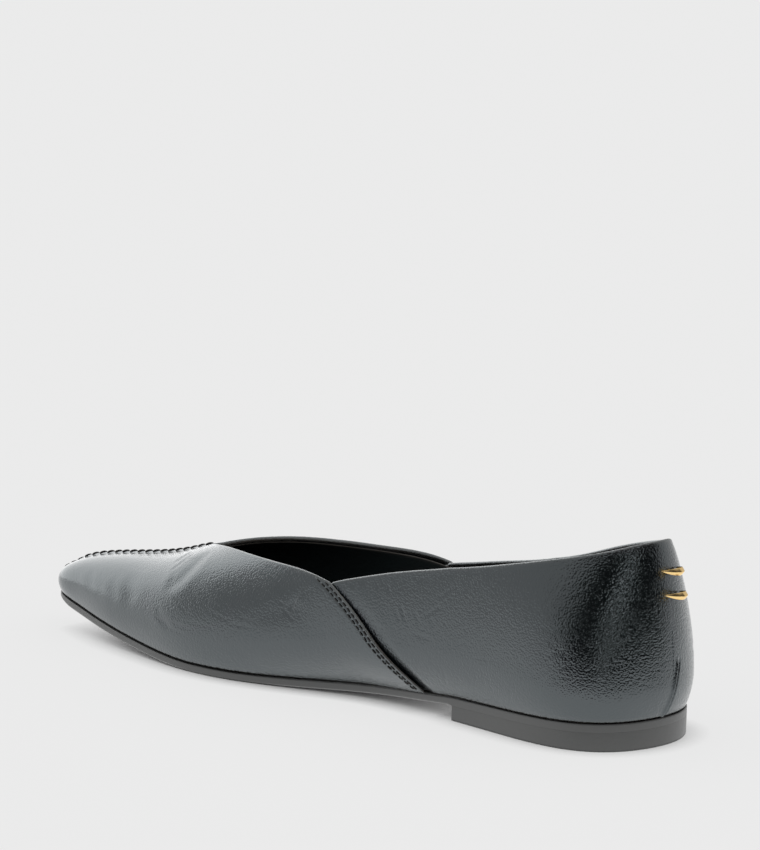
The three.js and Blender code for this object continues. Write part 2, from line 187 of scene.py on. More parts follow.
def skin(v, q):
    """A point of the last. v runs round the shoe, 0 at heel back and +1 or -1 at the toe tip, positive on
    the inner side; q runs up a rib from feather line (0) to ridge (1), and past 1 down the other side. The
    lower part of a rib leans out as a parabola; the rest is a quarter of a rounded oval up to the ridge."""
    v, q = np.broadcast_arrays(np.asarray(v, float), np.asarray(q, float))
    w = v - 2 * np.round(v / 2)
    side = np.where((w < 0) == (q > 1), 1.0, -1.0)
    up, u = np.where(q > 1, 2 - q, q), np.abs(w)
    x = length_at(u)
    lean = np.where(side > 0, inner_lean(u), outer_lean(u)) * BALL_WIDTH
    half = np.where(side > 0, inner_half(u), outer_half(u)) * BALL_WIDTH
    low = feather_level(x)
    mid, high = low + widest_level(u) * BACK_HEIGHT, low + ridge_level(u) * INSTEP_HEIGHT
    from_heel, from_toe = np.clip(x / 22, 0, 1), np.clip((SOLE_LENGTH - x) / 18, 0, 1)
    dx = 11 * (1 - from_heel) ** 2 - 4.5 * (1 - from_toe) ** 2
    dy = ridge_shift(u) * BALL_WIDTH - side * half
    reach = np.hypot(dx, dy)
    t = np.clip(up / TURN, 0, 1)
    angle = np.clip((up - TURN) / (1 - TURN), 0, 1) * np.pi / 2
    power = 2 / roundness_at(u)
    below = up < TURN
    inward = np.where(below, -lean * (1 - (1 - t) ** 2),
                      reach - (reach + lean) * np.maximum(np.cos(angle), 0) ** power)
    z = np.where(below, low + (mid - low) * t, mid + (high - mid) * np.sin(angle) ** power)
    return np.stack([x + dx / reach * inward, side * half + dy / reach * inward, z], -1)


def share_at(u, height):
    """The rib share at which the last reaches a height over the feather line."""
    mid, high = widest_level(u) * BACK_HEIGHT, ridge_level(u) * INSTEP_HEIGHT
    part = np.clip((height - mid) / (high - mid), 0, 1)
    return TURN + (1 - TURN) * np.arcsin(part ** (roundness_at(u) / 2)) * 2 / np.pi


def rise_at(u, q):
    """Height over the feather line at a rib share: straight up to the turn, then as a rounded oval."""
    mid, high = widest_level(u) * BACK_HEIGHT, ridge_level(u) * INSTEP_HEIGHT
    angle = np.clip((q - TURN) / (1 - TURN), 0, 1) * np.pi / 2
    return np.where(q < TURN, mid * q / TURN, mid + (high - mid) * np.sin(angle) ** (2 / roundness_at(u)))


def unit(vectors):
    """Vectors of length one."""
    return vectors / np.maximum(np.linalg.norm(vectors, axis=-1, keepdims=True), 1e-12)


def run_along(points):
    """Distance run down the first axis of a grid of points, zero on its first line."""
    steps = np.linalg.norm(np.diff(points, axis=0), axis=-1)
    return np.concatenate([np.zeros((1,) + steps.shape[1:]), np.cumsum(steps, 0)])


def skin_normal(v, q):
    """The last's outward direction: across both ways of the surface, and shared by both sides on the ridge."""
    h, top = 0.003, 0.97

    def own(v, q):
        return unit(np.cross(skin(v, q + h) - skin(v, np.maximum(q - h, 0)), skin(v + h, q) - skin(v - h, q)))

    below = np.minimum(q, top)
    share = 1 - 0.5 * np.clip((q - top) / (1 - top), 0, 1)[..., None]
    return unit(own(v, below) * share + own(-v, below) * (1 - share))


print("height over the back:", round(float(feather_level(0.0) + inner_top(0.0) * BACK_HEIGHT), 1), "mm")

# %% [markdown]
# ## Camera
# The photograph is taken from the heel end of the inner side, a little above the shoe, with a long lens.
# The place comes from the known size of the sole: the distance, the two angles and a slight roll are those
# at which the heel, the toe tip, the V and the sole's edge fall where they do in the picture.

# %% Camera
CAMERA_AZIMUTH, CAMERA_ELEVATION, CAMERA_ROLL = math.radians(39.37), math.radians(11.59), math.radians(1.67)
CAMERA_DISTANCE = 1.8
SENSOR, FRAME_HEIGHT, FOCAL_PIXELS = 36.0, 850, 5297.65


def aim_camera():
    """The view direction is turned by azimuth and elevation, then the picture's axes turned by the roll."""
    back = np.array([-math.sin(CAMERA_AZIMUTH) * math.cos(CAMERA_ELEVATION),
                     math.cos(CAMERA_AZIMUTH) * math.cos(CAMERA_ELEVATION), math.sin(CAMERA_ELEVATION)])
    right = np.array([-math.cos(CAMERA_AZIMUTH), -math.sin(CAMERA_AZIMUTH), 0.0])
    up = np.cross(back, right)
    middle = (np.array([SOLE_LENGTH / 2, 0, 30]) + OFFSET) * MM
    place = middle + back * CAMERA_DISTANCE
    target = middle + right * 0.00701 + up * 0.05754
    axis = unit(place - target)
    across = unit(np.cross(up, axis))
    upward = np.cross(axis, across)
    turned = across * math.cos(CAMERA_ROLL) + upward * math.sin(CAMERA_ROLL)
    lens = bpy.data.cameras.new("camera")
    lens.sensor_width = SENSOR
    lens.lens = FOCAL_PIXELS / FRAME_HEIGHT * SENSOR
    lens.clip_start, lens.clip_end = 0.05, 60
    camera = bpy.data.objects.new("camera", lens)
    bpy.context.scene.collection.objects.link(camera)
    axes = np.eye(4)
    axes[:3, 0], axes[:3, 1], axes[:3, 2], axes[:3, 3] = turned, np.cross(axis, turned), axis, place
    camera.matrix_world = Matrix(axes.tolist())
    bpy.context.scene.camera = camera
    return camera


camera = aim_camera()
print("camera at", [round(c, 3) for c in camera.location], "m, lens", round(camera.data.lens, 1), "mm")

# %% [markdown]
# ## From a grid of points to a mesh
# Every leather piece is a grid: rows of points up the shoe, columns round it. Numpy works out all points
# at once, and one call puts them into a mesh. Points that fall on each other, such as those where two
# sheets share an edge, are welded, so each piece comes out as one closed solid.

# %% Mesh helpers
def sheet_faces(numbers, wrap=False):
    """Four-corner faces of a grid of point numbers, rows by columns, also across the last column if it wraps."""
    if wrap:
        numbers = np.concatenate([numbers, numbers[:, :1]], 1)
    return np.stack([numbers[:-1, :-1], numbers[:-1, 1:], numbers[1:, 1:], numbers[1:, :-1]], -1).reshape(-1, 4)


def add_piece(name, points, faces, marks=None, weld=2e-6):
    """A mesh piece from points in the shoe's millimetres. marks are values kept at its points for materials."""
    mesh = bpy.data.meshes.new(name)
    mesh.from_pydata((points.reshape(-1, 3) + OFFSET) * MM, [], faces, shade_flat=False)
    for key, values in (marks or {}).items():
        mesh.attributes.new(key, "FLOAT", "POINT").data.foreach_set("value", values.ravel().astype(np.float32))
    work = bmesh.new()
    work.from_mesh(mesh)
    bmesh.ops.remove_doubles(work, verts=work.verts, dist=weld)
    bmesh.ops.dissolve_degenerate(work, edges=work.edges, dist=weld / 10)
    if work.calc_volume(signed=True) < 0:
        bmesh.ops.reverse_faces(work, faces=work.faces)
    open_edges = sum(not edge.is_manifold for edge in work.edges)
    work.to_mesh(mesh)
    work.free()
    piece = bpy.data.objects.new(name, mesh)
    bpy.context.scene.collection.objects.link(piece)
    triangles = sum(len(face.vertices) - 2 for face in mesh.polygons)
    print(f"{name}: {triangles} triangles, {open_edges} open edges")
    return piece


def graded(total, coarse, fine_spots):
    """Distances from 0 to total, a coarse step apart, and finer round each spot of (place, reach, step). A
    place below zero is measured back from the end."""
    along = np.linspace(0, total, 4000)
    density = np.full_like(along, 1 / coarse)
    for place, reach, step in fine_spots:
        from_spot = along - (place if place >= 0 else total + place)
        density = np.maximum(density, np.exp(-(from_spot / reach) ** 2) / step)
    count = np.concatenate([[0], np.cumsum((density[1:] + density[:-1]) / 2 * np.diff(along))])
    wanted = np.linspace(0, count[-1], int(math.ceil(count[-1])) + 1)
    return np.interp(wanted, count, along)

# %% [markdown]
# ## Columns and rows of the upper
# The cutting lines of the shoe decide the grid. A column of the vamp starts at the feather line and leans
# forward up to the top edge or to the middle seam, and the first one is the lapped edge itself. So the
# lap, the top edge and the seams are grid lines, and a round edge only needs a few rows close together.

# %% Columns of the cutting pattern
SEAM_STATION, V_STATION = float(station_of(SEAM_FOOT)), float(station_of(V_POINT))
V_SHARE = {1: float(share_at(V_STATION, inner_top(V_STATION) * BACK_HEIGHT)),
           -1: float(share_at(V_STATION, outer_top(V_STATION) * BACK_HEIGHT))}


def vamp_columns(along, side):
    """Foot station, top station and rib share of vamp columns: 0 is the lapped edge, 1 the toe tip. The top
    edge climbs from the V to the ridge as a power curve and follows the ridge from the throat on."""
    top = V_STATION + (1 - V_STATION) * along
    t = np.clip((length_at(top) - V_POINT) / (THROAT - V_POINT), 0, 1)
    return SEAM_STATION + (1 - SEAM_STATION) * along, top, 1 - (1 - V_SHARE[side]) * (1 - t) ** WING_BEND[side]


def quarter_columns(along, side):
    """The same for the quarter: 0 is the heel back, 1 the V, and a little past 1 lies under the vamp."""
    top = V_STATION * np.minimum(along, 1) + (1 - V_STATION) * np.maximum(along - 1, 0)
    foot = SEAM_STATION * np.minimum(along, 1) + (1 - SEAM_STATION) * np.maximum(along - 1, 0)
    height = (inner_top if side > 0 else outer_top)(np.minimum(top, V_STATION)) * BACK_HEIGHT
    return foot, top, share_at(np.minimum(top, V_STATION), height) * (1 - 0.012 * (along > 1))


def on_column(columns, side, level):
    """v and q at a level (0 foot, 1 top) of each column, which leans forward as a power of its height."""
    foot, top, share = columns
    q = level * share
    climb = np.clip(rise_at(top, q) / rise_at(top, share), 0, 1)
    return side * (foot + (top - foot) * climb ** SEAM_BEND), q


def rows_by_distance(columns, side, middle_rows, top_rim, foot_rim, top_start=0.0):
    """Row positions set by real distance along each column: close rows near both ends, even rows between."""
    level = np.linspace(0, 1, 241)[:, None]
    points = skin(*on_column(columns, side, level))
    run = run_along(points)
    reach = run[-1] - top_start
    scale = np.minimum(1, reach / (2.5 * (top_rim[-1] + foot_rim[-1])))
    low, high = foot_rim[-1] * scale, reach - top_rim[-1] * scale
    even = low + (high - low) * np.linspace(0, 1, middle_rows)[1:-1, None]
    wanted = np.concatenate([foot_rim[:, None] * scale, even, reach - top_rim[::-1, None] * scale])
    levels = np.stack([np.interp(wanted[:, i], run[:, i], level[:, 0]) for i in range(run.shape[1])], 1)
    return on_column(columns, side, levels)


def even_columns(columns_of, reach, level, coarse, fine_spots=(), samples=2001):
    """Places of columns a real distance apart, measured along one level of the inner side."""
    fine = np.linspace(0, reach, samples)
    run = run_along(skin(*on_column(columns_of(fine, 1), 1, level)))
    return np.interp(graded(run[-1], coarse, fine_spots), run, fine)


def both_sides(columns_of, along, inner, outer, rows, top_rim, foot_rim, drop=None):
    """One grid over both sides: v, q, top station, place along and side of each point. inner and outer say
    in which order each side's columns come, so that the sides meet without a doubled column."""
    parts = []
    for side, order in ((1, inner), (-1, outer)):
        columns = columns_of(along, side)
        start = drop(columns[1]) if drop else 0.0
        v, q = rows_by_distance(columns, side, rows, top_rim, foot_rim, start)
        parts.append([np.broadcast_to(a, v.shape)[:, order] for a in (v, q, columns[1], along, side)])
    return [np.concatenate(pair, 1) for pair in zip(*parts)]


RIM = np.array([0, 0.03, 0.1, 0.2, 0.34, 0.5, 0.7, 0.95, 1.3, 1.75, 2.3])
FOOT_RIM = np.array([0, 0.06, 0.2, 0.4, 0.7, 1.1, 1.6])
print("top edge meets the seam at", skin(V_STATION, V_SHARE[1]).round(1), "and", skin(-V_STATION, V_SHARE[-1]).round(1))

# %% [markdown]
# ## A place on the leather
# Creases are placed the way one would point at them on the shoe: so far along it, and so far up round it
# from the sole. The second number is a girth, the length of the rib from the feather line. A small table
# of rib lengths turns any grid point into such a place.

# %% Girth of the last
GIRTH_STEPS = 160


def girth_table(side):
    """Length of each rib from its foot, added up over short steps of the rib share."""
    shares = np.linspace(0, 1, GIRTH_STEPS + 1)
    return run_along(skin(side * shares[None, :], shares[:, None])).T


GIRTH = {1: girth_table(1), -1: girth_table(-1)}


def mix_corners(a, b, corner):
    """The four corners of a cell, mixed by how far across it (a) and up it (b) a point lies."""
    return ((1 - a) * (1 - b) * corner(0, 0) + a * (1 - b) * corner(1, 0)
            + (1 - a) * b * corner(0, 1) + a * b * corner(1, 1))


def girth_at(v, q):
    """The girth at grid points, read between the table's four nearest entries."""
    u, q = np.abs(v) * GIRTH_STEPS, np.clip(q, 0, 1) * GIRTH_STEPS
    i, j = (np.clip(place.astype(int), 0, GIRTH_STEPS - 1) for place in (u, q))
    table, k = np.stack([GIRTH[-1], GIRTH[1]]), (v >= 0).astype(int)
    return mix_corners(u - i, q - j, lambda di, dj: table[k, i + di, j + dj])


print("girth of half the ball:", round(float(girth_at(np.array(station_of(168)), np.array(1.0))), 1), "mm")

# %% [markdown]
# ## Creases
# Leather that is pulled over a last and then worn or handled lies in soft troughs. They come from the
# hump at the throat, from the bend over the ball and from the slack above the arch. Each is listed with its
# start and end on the leather, a bow, a half width and a depth. A trough has a faint swelling on
# both sides, because the leather has to go somewhere.

# %% Soft troughs and swellings
CREASES = np.array([  # side; x and girth of the start; of the end; bow; half width; depth (up is minus)
    # the slack beside the throat
    (1, 197.2, 33.0, 195.4, 43.0, 0.6, 0.6, 0.26), (1, 196.0, 28.5, 190.8, 41.5, 0.9, 0.6, 0.24),
    (1, 193.8, 21.5, 181.6, 43.5, 1.6, 3.0, 0.42), (1, 190.2, 25.5, 184.6, 37.5, -0.9, 2.0, -0.18),
    (1, 194.4, 25.0, 190.4, 28.2, 0.3, 0.4, 0.12), (1, 192.6, 23.4, 188.6, 26.2, -0.2, 0.4, 0.10),
    # the toe, drawn tight
    (1, 236.8, 7.5, 239.8, 17.0, 0.5, 2.6, 0.08), (1, 230.5, 7.0, 233.5, 18.0, -0.6, 2.6, 0.05),
    (1, 210.5, 11.0, 217.6, 23.0, 1.0, 3.8, 0.14), (1, 221.0, 9.0, 225.5, 19.0, 0.4, 2.6, 0.05),
    # fine folds along the ball
    (1, 196.5, 15.8, 185.5, 11.0, 0.6, 1.8, 0.16), (1, 199.5, 13.4, 187.5, 12.4, 0.3, 0.5, 0.10),
    (1, 192.5, 11.0, 177.5, 10.4, -0.3, 0.5, 0.10), (1, 188.0, 13.6, 174.0, 13.0, 0.3, 0.5, 0.08),
    (1, 180.0, 15.8, 166.0, 15.6, 0.4, 0.5, 0.07), (1, 168.5, 20.6, 157.0, 19.4, 0.3, 0.5, 0.08),
    (1, 160.0, 17.8, 147.0, 18.2, -0.3, 0.5, 0.07), (1, 155.0, 21.4, 146.0, 21.0, 0.2, 0.5, 0.06),
    # the star of creases before the V
    (1, 129.6, 36.4, 133.9, 24.6, 0.6, 0.6, 0.36), (1, 131.6, 33.6, 135.9, 25.8, -0.4, 0.5, 0.28),
    (1, 137.4, 28.4, 131.0, 24.0, 0.2, 0.4, 0.22), (1, 124.4, 36.8, 131.0, 31.2, 0.4, 0.5, 0.14),
    (1, 139.5, 30.0, 134.5, 28.4, 0.2, 0.4, 0.12), (1, 141.0, 33.5, 137.0, 34.6, 0.2, 0.5, 0.10),
    (1, 126.0, 29.0, 148.0, 21.0, 1.6, 3.4, 0.22), (1, 132.5, 26.6, 137.5, 25.2, 0.1, 0.4, 0.12),
    # upright folds of the quarter behind the lap
    (1, 88.8, 34.6, 85.3, 26.6, 0.4, 0.5, 0.20), (1, 91.0, 33.0, 87.9, 27.0, 0.3, 0.5, 0.14),
    (1, 82.4, 31.6, 79.6, 26.0, 0.3, 0.5, 0.14), (1, 79.2, 29.0, 70.6, 34.6, 0.6, 0.5, 0.18),
    (1, 73.4, 35.2, 65.8, 41.6, 0.6, 0.5, 0.18), (1, 61.8, 39.2, 59.0, 43.4, 0.2, 0.5, 0.14),
    (1, 100.6, 43.0, 97.6, 37.4, 0.3, 0.5, 0.14), (1, 76.4, 30.2, 73.2, 25.6, 0.2, 0.5, 0.12),
    (1, 95.0, 40.5, 93.2, 36.0, 0.2, 0.5, 0.10), (1, 84.0, 24.0, 74.0, 22.0, 0.5, 0.8, 0.10),
    # the round of the heel
    (1, 25.5, 28.4, 14.6, 21.0, 0.5, 0.7, 0.07), (1, 27.5, 22.2, 15.5, 25.2, 0.4, 0.6, 0.06),
    (1, 22.0, 19.0, 12.5, 20.6, 0.3, 0.5, 0.06), (1, 12.5, 18.6, 3.0, 20.8, 0.6, 0.6, 0.08),
    (1, 24.5, 32.0, 13.8, 30.0, 0.5, 0.6, 0.06), (1, 22.5, 37.0, 13.0, 34.4, -0.4, 0.6, 0.06),
    (1, 19.5, 42.5, 12.0, 39.0, 0.4, 0.6, 0.05), (1, 18.0, 47.0, 12.0, 44.4, 0.3, 0.6, 0.05),
    (1, 20.0, 24.0, 10.0, 22.6, 0.3, 0.5, 0.05), (1, 16.0, 27.4, 7.0, 25.0, 0.3, 0.5, 0.05),
    # the outer side, on the same places of the foot
    (-1, 196.0, 29.0, 191.0, 42.0, 0.9, 0.7, 0.24), (-1, 193.6, 21.0, 182.0, 43.0, 1.6, 2.9, 0.50),
    (-1, 212.0, 10.0, 217.0, 22.0, 1.0, 3.8, 0.14), (-1, 198.0, 16.0, 184.0, 11.0, 0.6, 1.8, 0.24),
    (-1, 190.0, 12.0, 174.0, 11.4, 0.3, 0.5, 0.10), (-1, 131.0, 33.0, 134.6, 23.6, 0.6, 0.6, 0.30),
    (-1, 133.6, 31.0, 138.0, 25.0, -0.4, 0.5, 0.20), (-1, 126.0, 30.0, 148.0, 21.0, 1.6, 3.4, 0.22),
    (-1, 89.0, 32.0, 85.4, 25.0, 0.4, 0.5, 0.18), (-1, 79.0, 28.0, 70.4, 33.6, 0.6, 0.5, 0.16),
    (-1, 26.0, 28.0, 15.0, 21.4, 0.5, 0.8, 0.14), (-1, 13.0, 18.0, 4.0, 20.6, 0.6, 0.9, 0.14),
])


def crease_relief(x, girth, side):
    """Height added by all creases: each is a bell across its line, with two low bells beside it, that
    fades to nothing at both ends. The line is straight but for a bow that is highest at its middle."""
    relief = np.zeros_like(x)
    for s, x0, g0, x1, g1, bow, half, depth in CREASES:
        run = math.hypot(x1 - x0, g1 - g0)
        ax, ag = (x1 - x0) / run, (g1 - g0) / run
        along = ((x - x0) * ax + (girth - g0) * ag) / run
        across = -(x - x0) * ag + (girth - g0) * ax - bow * 4 * along * (1 - along)
        fade = smooth(along / 0.35 + 0.1) * smooth((1 - along) / 0.35 + 0.1)
        narrow = half * (0.55 + 0.45 * fade)
        bell = np.exp(-(across / narrow) ** 2)
        beside = np.exp(-((np.abs(across) - 1.9 * narrow) / narrow) ** 2)
        relief += np.where(side == s, depth * fade * (0.3 * beside - bell), 0)
    return relief


LUMPS = ((0.09, 21, 3), (0.035, 9, 5), (0.012, 3.7, 8))  # height and width in millimetres, seed
OTHER_SIDE = 300


def soft_noise(x, y, cell, seed):
    """Smooth seeded lumps: random heights on a square lattice, joined by soft steps."""
    heights = np.random.default_rng(seed).uniform(-1, 1, (64, 64))
    i, j = np.floor(x / cell).astype(int), np.floor(y / cell).astype(int)
    corner = lambda di, dj: heights[(i + di) % 64, (j + dj) % 64]
    return mix_corners(smooth(x / cell - i), smooth(y / cell - j), corner)


def leather_relief(v, q, side):
    """The creases and the unevenness of lasted leather, which is three sizes of soft lumps."""
    x, girth = length_at(np.abs(v)), girth_at(v, q)
    y = girth + OTHER_SIDE * (side < 0)
    lumps = sum(height * soft_noise(x, y, cell, seed) for height, cell, seed in LUMPS)
    return crease_relief(x, girth, side) + lumps

# %% [markdown]
# ## A skin of leather
# A cut piece of leather has a thickness and a rounded edge. Two sheets are laid over the last, one wall
# apart, and near every border they curve towards each other as a quarter circle and meet.

# %% Skins with round edges
def border_distance(points, axis):
    """Distance from a grid's first line: the length run along the cross lines, times the sine of the angle
    at which they leave it."""
    grid = np.moveaxis(points, axis, 0)
    line = unit(np.gradient(grid[0], axis=0))
    sine = np.linalg.norm(np.cross(line, unit(grid[3] - grid[0])), axis=1)
    return np.moveaxis(run_along(grid) * np.maximum(sine, 0.2), 0, axis)


def borders(base):
    """Distances of all grid points from the top edge, from the foot and from the nearer end."""
    ends = np.minimum(border_distance(base, 1), border_distance(base[:, ::-1], 1)[:, ::-1])
    return border_distance(base[::-1], 0)[::-1], border_distance(base, 0), ends


def rounded(distance, radius):
    """How far a sheet has risen from the middle of the edge: a quarter circle over the radius."""
    return np.sqrt(np.clip(1 - (1 - np.clip(distance / radius, 0, 1)) ** 2, 0, 1))


def add_skin(name, base, normal, top, thick, rise, calm, marks, wrap=False):
    """Two sheets along the normals. top: height of the outer sheet; thick: distance to the inner one;
    rise: 0 on the border, 1 inside; calm: relief of the outer sheet that the inner one doesn't follow."""
    half = thick / 2 * (1 - rise)
    outer = base + normal * (top - half)[..., None]
    inner = base + normal * (top - calm - thick + half)[..., None]
    numbers = np.arange(base.shape[0] * base.shape[1]).reshape(base.shape[:2])
    faces = np.concatenate([sheet_faces(numbers, wrap), sheet_faces(numbers + numbers.size, wrap)[:, ::-1]])
    points = np.concatenate([outer.reshape(-1, 3), inner.reshape(-1, 3)])
    return add_piece(name, points, faces, {k: np.concatenate([m.ravel(), m.ravel()]) for k, m in marks.items()})

# %% [markdown]
# ## The vamp
# The front of the upper: two halves, joined along the middle by a raised seam that is whipped over with
# thread, and lapped over the quarter along a slanted edge. It is one grid that runs from the lapped edge
# of the inner side round the toe tip to that of the outer side. Its last row is the middle seam, where
# both sides meet in a fine groove.

# %% Vamp
BEAD_HEIGHT, BEAD_HALF = 0.5, 2.0
WHIP_PITCH = 3.7
STITCH_ROWS, NEEDLE_DIP = (1.2, 2.5), 0.16
VAMP_THICKNESS, LAP_THINNING = 1.7, 0.55
FAR = 50
THROAT_STATION = float(station_of(THROAT))
SEAM_END = 0.42
RIDGE_STEPS = 800
ridge_u = np.linspace(THROAT_STATION, 1, RIDGE_STEPS)
front_q = np.linspace(1, SEAM_END, 60)
seam_line = np.concatenate([skin(ridge_u, 1.0), skin(1.0, front_q[1:])])
seam_run = run_along(seam_line)
ridge_run, front_run = seam_run[:RIDGE_STEPS], seam_run[RIDGE_STEPS - 1:]


def bead(v, q, point):
    """The raised seam: a cosine across the seam line, which follows the ridge and then drops down the front
    of the toe. It fades in at the throat and out above the sole, and each whipped stitch pinches it."""
    u = np.abs(v)
    front = smooth((u - 0.9) / 0.05)
    away = np.linalg.norm(point - skin(v, 1.0), axis=-1) * (1 - front) + np.abs(point[..., 1]) * front
    fade = smooth((length_at(u) - THROAT + 2) / 7) * (1 - front * (1 - smooth((q - 0.12) / 0.4)))
    down = smooth((u - 0.96) / 0.04) * (1 - q) / (1 - SEAM_END)
    run = np.interp(u, ridge_u, ridge_run) + down * (front_run[-1] - front_run[0])
    pinch = 0.88 - 0.12 * np.cos(2 * np.pi * run / WHIP_PITCH)
    height = BEAD_HEIGHT * (1 - 0.3 * front)
    return np.where(away < BEAD_HALF, height * fade * pinch * np.cos(away / BEAD_HALF * np.pi / 2), 0)


def lap_height(v, q, top):
    """How far the vamp stands off the last where it lies on the quarter: the full step at the lapped edge,
    gone after the fade, and less near the sole, where everything is pulled tight."""
    lapped = 1 - smooth((length_at(top) - V_POINT) / LAP_FADE)
    return LAP_STEP * lapped * (0.45 + 0.55 * np.clip(q / TURN, 0, 1)), lapped


def add_vamp():
    """Columns are close together at the lapped edge and where its stitches lie. The edges turn over as
    quarter circles, but along the middle seam the two halves stay open and meet in a fine groove."""
    along = even_columns(vamp_columns, 1, 0.55, 0.86, [(0, 0.9, 0.06), (0, 6.5, 0.22)])
    print("vamp columns on a side:", len(along))
    v, q, top, _, side = both_sides(vamp_columns, along, slice(None), slice(-2, None, -1), 74, RIM, FOOT_RIM)
    base, normal = skin(v, q), skin_normal(v, q)
    lap, lapped = lap_height(v, q, top)
    from_top, from_foot, from_lap = borders(base)
    seam = smooth((length_at(top) - THROAT) / 3)
    open_top = np.where(seam > 0, FAR, from_top)
    edge = np.minimum(np.minimum(from_lap, from_foot), from_top + FAR * (seam > 0))
    thick = VAMP_THICKNESS - LAP_THINNING * lapped
    groove = 1 - 0.12 * seam * (1 - rounded(from_top, 0.55)) * smooth((SOLE_LENGTH - length_at(top)) / 3)
    rise = np.minimum(rounded(edge, thick / 2), rounded(open_top, thick / 2)) * np.where(seam > 0, groove, 1)
    joining = np.minimum(rise, rounded(from_top, thick / 2) * (1 - seam) + groove * seam)
    rise = np.where((seam > 0) & (seam < 1), joining, rise)
    stitched = sum(np.exp(-((from_lap - d) / 0.38) ** 2) for d in STITCH_ROWS) * smooth(from_top / 2)
    relief = leather_relief(v, q, side) * smooth(edge / 5) * smooth(from_top / 3 + 0.25 * (seam <= 0))
    relief = relief - NEEDLE_DIP * stitched
    raised = bead(v, q, base)
    calm = relief * smooth(np.minimum(edge, from_top + FAR * seam) / 2) + raised * 0.6 * seam
    marks = {"edge": np.exp(-np.minimum(np.minimum(from_lap, from_foot), open_top) / 0.5)}
    return add_skin("vamp", base, normal, lap + raised + relief, thick, rise, calm, marks)


vamp = add_vamp()

# %% [markdown]
# ## The quarter
# The back of the upper: one piece round the heel, from under the lap on one side to under the lap on the
# other. It is pulled in a little beside the lap, which leaves the dark line below the vamp's edge. One short
# dart, low on the centre of the back, takes up the slack of the round heel: a slit whose one lip is proud.

# %% Quarter
DART_TOP, DART_LEAN = 19.5, 0.24


def dart_relief(y, girth):
    """The dart: a narrow bell-shaped groove that starts near the centre of the back and leans to the outer
    side, and a broader lip on its inner side, both fading out at the dart's top."""
    away = y + DART_LEAN * (girth - 4)
    groove, lip = np.exp(-(away / 0.42) ** 2), np.exp(-((away - 1.05) / 0.6) ** 2)
    return (0.5 * lip - 1.1 * groove) * smooth((DART_TOP - girth) / 2.2)


def add_quarter():
    """Columns are close together at the back, where the dart is, and under the lap. The leather dips inward
    beside the lap, most at the foot, and it is thicker along the folded top edge."""
    along = even_columns(quarter_columns, 1.045, 0.5, 0.74, [(-6, 5, 0.4), (0, 4.4, 0.17)])
    v, q, _, wide, side = both_sides(quarter_columns, along, slice(None, None, -1), slice(1, None),
                                     62, RIM, FOOT_RIM)
    base, normal = skin(v, q), skin_normal(v, q)
    from_top, from_foot, from_end = borders(base)
    edge = np.minimum(np.minimum(from_top, from_foot), from_end)
    level = q / np.max(q, axis=0, keepdims=True)
    dip = (0.05 + 0.85 * (1 - level) ** 0.7) * smooth((wide - 0.958) / 0.038)
    thick = 1.15 + 0.55 * np.exp(-from_top / 3) - 0.15 * smooth((wide - 0.93) / 0.065)
    relief = leather_relief(v, q, side) * smooth(edge / 4 + 0.1) + dart_relief(base[..., 1], girth_at(v, q))
    marks = {"edge": np.exp(-np.minimum(from_top, from_foot) / 0.5)}
    return add_skin("quarter", base, normal, relief - dip, thick, rounded(edge, thick / 2),
                    relief * smooth(edge / 2), marks)


quarter = add_quarter()

# %% [markdown]
# ## The lining
# A thin dark leather inside the whole upper. It stops two millimetres under the top edge, where the
# folded edge of the outer leather shows as a band, and it runs on into the toe.

# %% Lining
LINING_DROP, LINING_THICKNESS = 2.2, 0.4


def lining_columns(along, side):
    """The quarter's columns over the first half and the vamp's over the second."""
    back = quarter_columns(np.minimum(along / 0.5, 1), side)
    front = vamp_columns(np.maximum(along - 0.5, 0) / 0.5, side)
    return tuple(np.where(along < 0.5, a, b) for a, b in zip(back, front))


def add_lining():
    """One closed ring of columns, a wall's thickness inside the last. It starts below the top edge and
    runs up to the middle seam in front of the throat."""
    along = even_columns(lining_columns, 1, 0.6, 1.7, samples=1201)
    drop = lambda top: LINING_DROP * (1 - smooth((length_at(top) - THROAT + 4) / 5))
    v, q, top, *_ = both_sides(lining_columns, along, slice(None), slice(-2, 0, -1),
                               40, RIM[:6], FOOT_RIM[:3], drop)
    base, normal = skin(v, q), skin_normal(v, q)
    from_top, from_foot, _ = borders(base)
    from_top = np.where(length_at(top) > THROAT + 4, FAR, from_top)
    rise = rounded(np.minimum(from_top, from_foot), LINING_THICKNESS / 2)
    level, thick = (np.full_like(v, value) for value in (0.1 - WALL, LINING_THICKNESS))
    return add_skin("lining", base, normal, level, thick, rise, np.zeros_like(v),
                    {"edge": np.exp(-from_top / 0.4)}, wrap=True)


lining = add_lining()

# %% [markdown]
# ## Sole, heel and footbed
# All three follow the outline of the last, a little inside or outside it. Each is a ring of points, up
# the inner edge, across the top, down the outer edge and back across the underside, that is carried from
# heel to toe. The ring's corners are quarter circles, so light runs along the edges as it does on the
# trimmed and polished edge of a real sole.

# %% Slabs that follow the outline
def outline(v):
    """The feather line in plan, from heel back (0) to toe tip on the inner (+1) and the outer side (-1)."""
    w = v - 2 * np.round(v / 2)
    half = np.where(w < 0, outer_half(np.abs(w)), inner_half(np.abs(w))) * BALL_WIDTH
    return np.stack([length_at(np.abs(w)), np.sign(w) * half], -1)


def edge_point(v, out):
    """The outline moved outward by a distance, square to it."""
    along = unit(outline(v + 0.002) - outline(v - 0.002))
    return outline(v) + np.stack([-along[..., 1], along[..., 0]], -1) * out[..., None]


